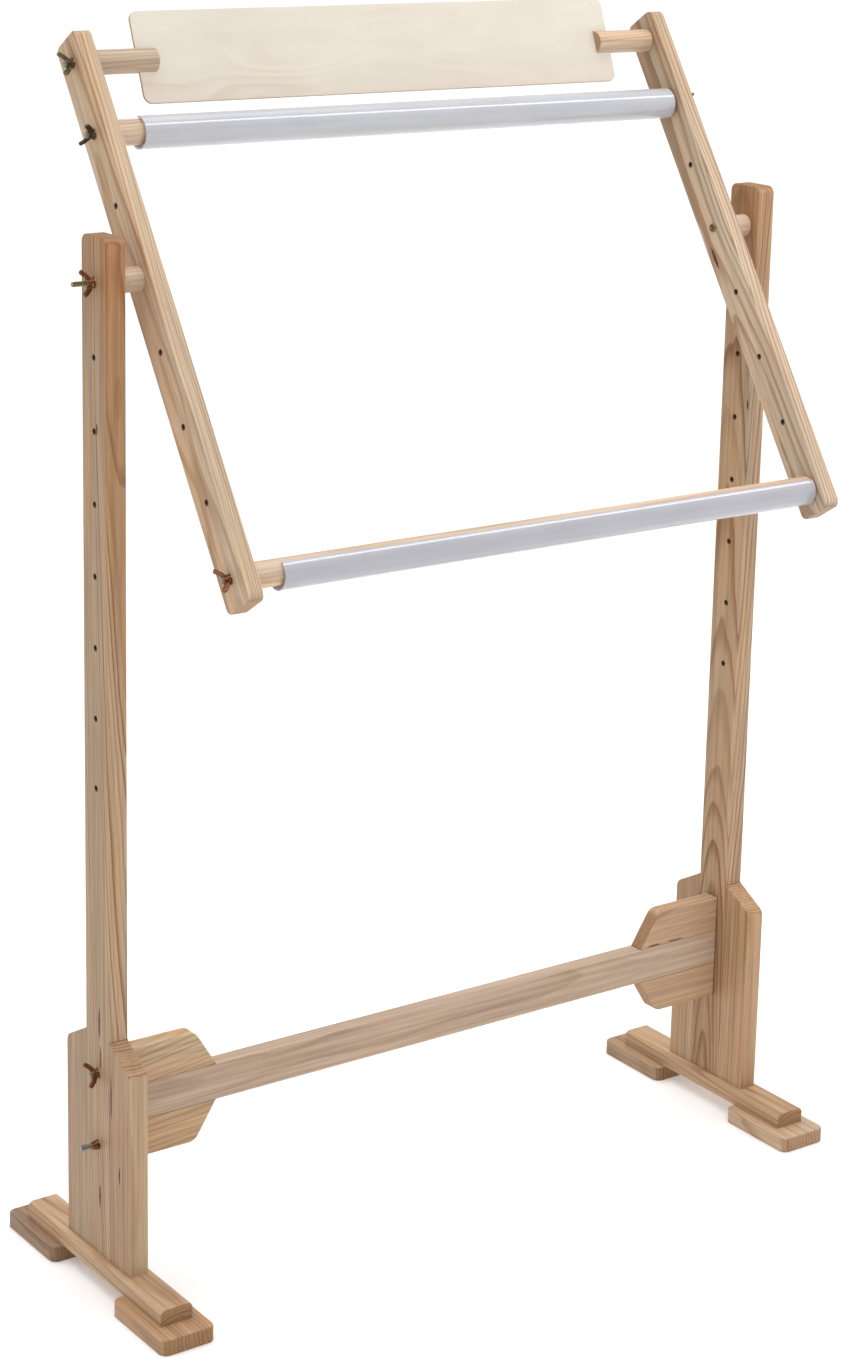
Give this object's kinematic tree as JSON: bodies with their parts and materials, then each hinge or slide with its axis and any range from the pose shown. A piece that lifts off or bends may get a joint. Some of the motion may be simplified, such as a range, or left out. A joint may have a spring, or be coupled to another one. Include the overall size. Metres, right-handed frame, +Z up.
{
  "type": "floor-standing scroll frame",
  "caption": "Floor-standing wooden scroll frame for embroidery: a tilting frame with two clip-on scroll rods and a chart board, between two posts on feet.",
  "frame": {"origin": "on the floor, midway between the two posts", "axes": "+X along the scroll rods, towards the right-hand post; -Y towards the person at work; +Z up"},
  "size_m": [0.8541, 0.3564, 1.2453],
  "materials": {
    "pine": "clear satin finish on planed pine",
    "dowel": "clear satin finish on turned softwood",
    "plywood": "pale birch plywood, satin",
    "pvc": "glossy cool white",
    "bronze": "dark antique bronze plating",
    "steel": "zinc-plated thread"
  },
  "bodies": {
    "stand": {"post_left": "pine", "post_right": "pine", "shoulder_left_front": "pine", "shoulder_left_rear": "pine", "shoulder_right_front": "pine", "shoulder_right_rear": "pine", "foot_bar_left": "pine", "foot_bar_right": "pine", "foot_pad_left_front": "pine", "foot_pad_left_rear": "pine", "foot_pad_right_front": "pine", "foot_pad_right_rear": "pine", "stretcher_rail": "pine", "gusset_left_upper": "pine", "gusset_left_lower": "pine", "gusset_right_upper": "pine", "gusset_right_lower": "pine", "stretcher_studs": "steel", "post_washers": "bronze"},
    "frame": {"side_bar_left": "pine", "side_bar_right": "pine", "spacer_left": "dowel", "spacer_right": "dowel", "pivot_bolt_left": "bronze", "pivot_bolt_right": "bronze", "bar_washers": "bronze"},
    "top_rod": {"rod_top": "dowel", "rod_top_studs": "steel"},
    "bottom_rod": {"rod_bottom": "dowel", "rod_bottom_studs": "steel"},
    "top_clip": {"clip_top": "pvc"},
    "bottom_clip": {"clip_bottom": "pvc"},
    "left_peg": {"peg_left": "dowel", "peg_left_stud": "steel"},
    "right_peg": {"peg_right": "dowel", "peg_right_stud": "steel"},
    "board": {"chart_board": "plywood"},
    "nut_pivot_left": {"wing_nut_pivot_left": "bronze"},
    "nut_pivot_right": {"wing_nut_pivot_right": "bronze"},
    "nut_stretcher_upper_left": {"wing_nut_stretcher_upper_left": "bronze"},
    "nut_stretcher_upper_right": {"wing_nut_stretcher_upper_right": "bronze"},
    "nut_stretcher_lower_left": {"wing_nut_stretcher_lower_left": "bronze"},
    "nut_stretcher_lower_right": {"wing_nut_stretcher_lower_right": "bronze"},
    "nut_peg_left": {"wing_nut_peg_left": "bronze"},
    "nut_peg_right": {"wing_nut_peg_right": "bronze"},
    "nut_rod_top_left": {"wing_nut_rod_top_left": "bronze"},
    "nut_rod_top_right": {"wing_nut_rod_top_right": "bronze"},
    "nut_rod_bottom_left": {"wing_nut_rod_bottom_left": "bronze"},
    "nut_rod_bottom_right": {"wing_nut_rod_bottom_right": "bronze"}
  },
  "joints": [
    {"name": "frame_tilt", "type": "hinge", "parent": "stand", "child": "frame", "pos_m": [0, 0, 1.0115], "axis": [1, 0, 0], "continuous": true},
    {"name": "top_rod_turn", "type": "hinge", "parent": "frame", "child": "top_rod", "pos_m": [0, 0.08257, 1.13673], "axis": [1, 0, 0], "continuous": true},
    {"name": "bottom_rod_turn", "type": "hinge", "parent": "frame", "child": "bottom_rod", "pos_m": [0, -0.16514, 0.76105], "axis": [1, 0, 0], "continuous": true},
    {"name": "top_clip_slide", "type": "slide", "parent": "top_rod", "child": "top_clip", "axis": [-1, 0, 0], "range_m": [0, 0.028]},
    {"name": "bottom_clip_slide", "type": "slide", "parent": "bottom_rod", "child": "bottom_clip", "axis": [-1, 0, 0], "range_m": [0, 0.028]},
    {"name": "left_peg_turn", "type": "hinge", "parent": "frame", "child": "left_peg", "pos_m": [0, 0.12386, 1.19934], "axis": [1, 0, 0], "range_deg": [-150, 150]},
    {"name": "right_peg_turn", "type": "hinge", "parent": "frame", "child": "right_peg", "pos_m": [0, 0.12386, 1.19934], "axis": [1, 0, 0], "range_deg": [-150, 150]},
    {"name": "board_lift", "type": "slide", "parent": "left_peg", "child": "board", "axis": [0, 0.3665, 0.9304], "range_m": [-0.012, 0.045]},
    {"name": "nut_pivot_left_turn", "type": "hinge", "parent": "frame", "child": "nut_pivot_left", "pos_m": [0, 0, 1.0115], "axis": [-1, 0, 0], "continuous": true},
    {"name": "nut_pivot_right_turn", "type": "hinge", "parent": "frame", "child": "nut_pivot_right", "pos_m": [0, 0, 1.0115], "axis": [1, 0, 0], "continuous": true},
    {"name": "nut_stretcher_upper_left_turn", "type": "hinge", "parent": "stand", "child": "nut_stretcher_upper_left", "pos_m": [0, 0, 0.227], "axis": [-1, 0, 0], "continuous": true},
    {"name": "nut_stretcher_upper_right_turn", "type": "hinge", "parent": "stand", "child": "nut_stretcher_upper_right", "pos_m": [0, 0, 0.227], "axis": [1, 0, 0], "continuous": true},
    {"name": "nut_stretcher_lower_left_turn", "type": "hinge", "parent": "stand", "child": "nut_stretcher_lower_left", "pos_m": [0, 0, 0.151], "axis": [-1, 0, 0], "continuous": true},
    {"name": "nut_stretcher_lower_right_turn", "type": "hinge", "parent": "stand", "child": "nut_stretcher_lower_right", "pos_m": [0, 0, 0.151], "axis": [1, 0, 0], "continuous": true},
    {"name": "nut_peg_left_turn", "type": "hinge", "parent": "left_peg", "child": "nut_peg_left", "pos_m": [0, 0.12386, 1.19934], "axis": [-1, 0, 0], "continuous": true},
    {"name": "nut_peg_right_turn", "type": "hinge", "parent": "right_peg", "child": "nut_peg_right", "pos_m": [0, 0.12386, 1.19934], "axis": [1, 0, 0], "continuous": true},
    {"name": "nut_rod_top_left_turn", "type": "hinge", "parent": "top_rod", "child": "nut_rod_top_left", "pos_m": [0, 0.08257, 1.13673], "axis": [-1, 0, 0], "continuous": true},
    {"name": "nut_rod_top_right_turn", "type": "hinge", "parent": "top_rod", "child": "nut_rod_top_right", "pos_m": [0, 0.08257, 1.13673], "axis": [1, 0, 0], "continuous": true},
    {"name": "nut_rod_bottom_left_turn", "type": "hinge", "parent": "bottom_rod", "child": "nut_rod_bottom_left", "pos_m": [0, -0.16514, 0.76105], "axis": [-1, 0, 0], "continuous": true},
    {"name": "nut_rod_bottom_right_turn", "type": "hinge", "parent": "bottom_rod", "child": "nut_rod_bottom_right", "pos_m": [0, -0.16514, 0.76105], "axis": [1, 0, 0], "continuous": true}
  ],
  "couplings": [
    {"joint": "right_peg_turn", "follows": "left_peg_turn", "ratio": 1}
  ]
}
